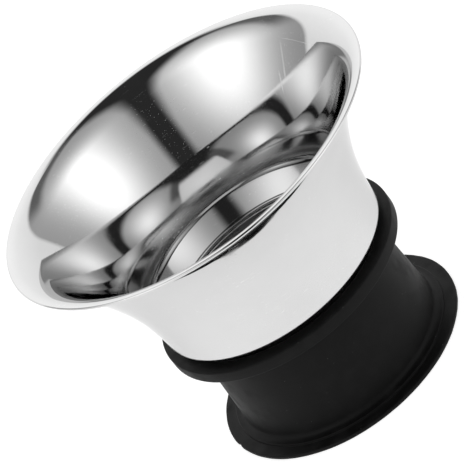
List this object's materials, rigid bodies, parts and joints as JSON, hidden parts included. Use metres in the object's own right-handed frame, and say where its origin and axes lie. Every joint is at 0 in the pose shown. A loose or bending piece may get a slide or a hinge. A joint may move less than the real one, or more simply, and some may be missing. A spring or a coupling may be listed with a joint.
{
  "type": "liquor pour spout",
  "caption": "Flared polished steel pour collar with a self-closing flap in its throat, in a black silicone sleeve that plugs into a bottle or carafe neck.",
  "frame": {"origin": "centre of the sleeve's bottom face, on the surface that the object stands on", "axes": "+Z is the turned axis, up towards the flared rim; -Y is the side that the flap's hinge is on; +X is to the right seen from the hinge side"},
  "size_m": [0.0746, 0.0746, 0.0544],
  "materials": {
    "polished_steel": "mirror-polished stainless steel",
    "plain_steel": "satin stainless steel",
    "black_silicone": "matt black moulded silicone"
  },
  "bodies": {
    "sleeve": {"silicone_sleeve": "black_silicone"},
    "insert": {"funnel_bell": "polished_steel", "throat_cone": "polished_steel", "neck_tube": "plain_steel", "flap_seat_ring": "black_silicone", "hinge_ear_left": "plain_steel", "hinge_ear_right": "plain_steel", "hinge_pin": "plain_steel", "pin_retainer_left": "plain_steel", "pin_retainer_right": "plain_steel"},
    "flap": {"flap_disc": "polished_steel", "flap_hinge_strap": "plain_steel", "strap_rivet_left": "plain_steel", "strap_rivet_right": "plain_steel"}
  },
  "joints": [
    {"name": "insert_lift", "type": "slide", "parent": "sleeve", "child": "insert", "axis": [0, 0, 1], "range_m": [0, 0.024]},
    {"name": "flap_hinge", "type": "hinge", "parent": "insert", "child": "flap", "pos_m": [0, -0.01835, 0.02357], "axis": [1, 0, 0], "range_deg": [0, 50]}
  ]
}
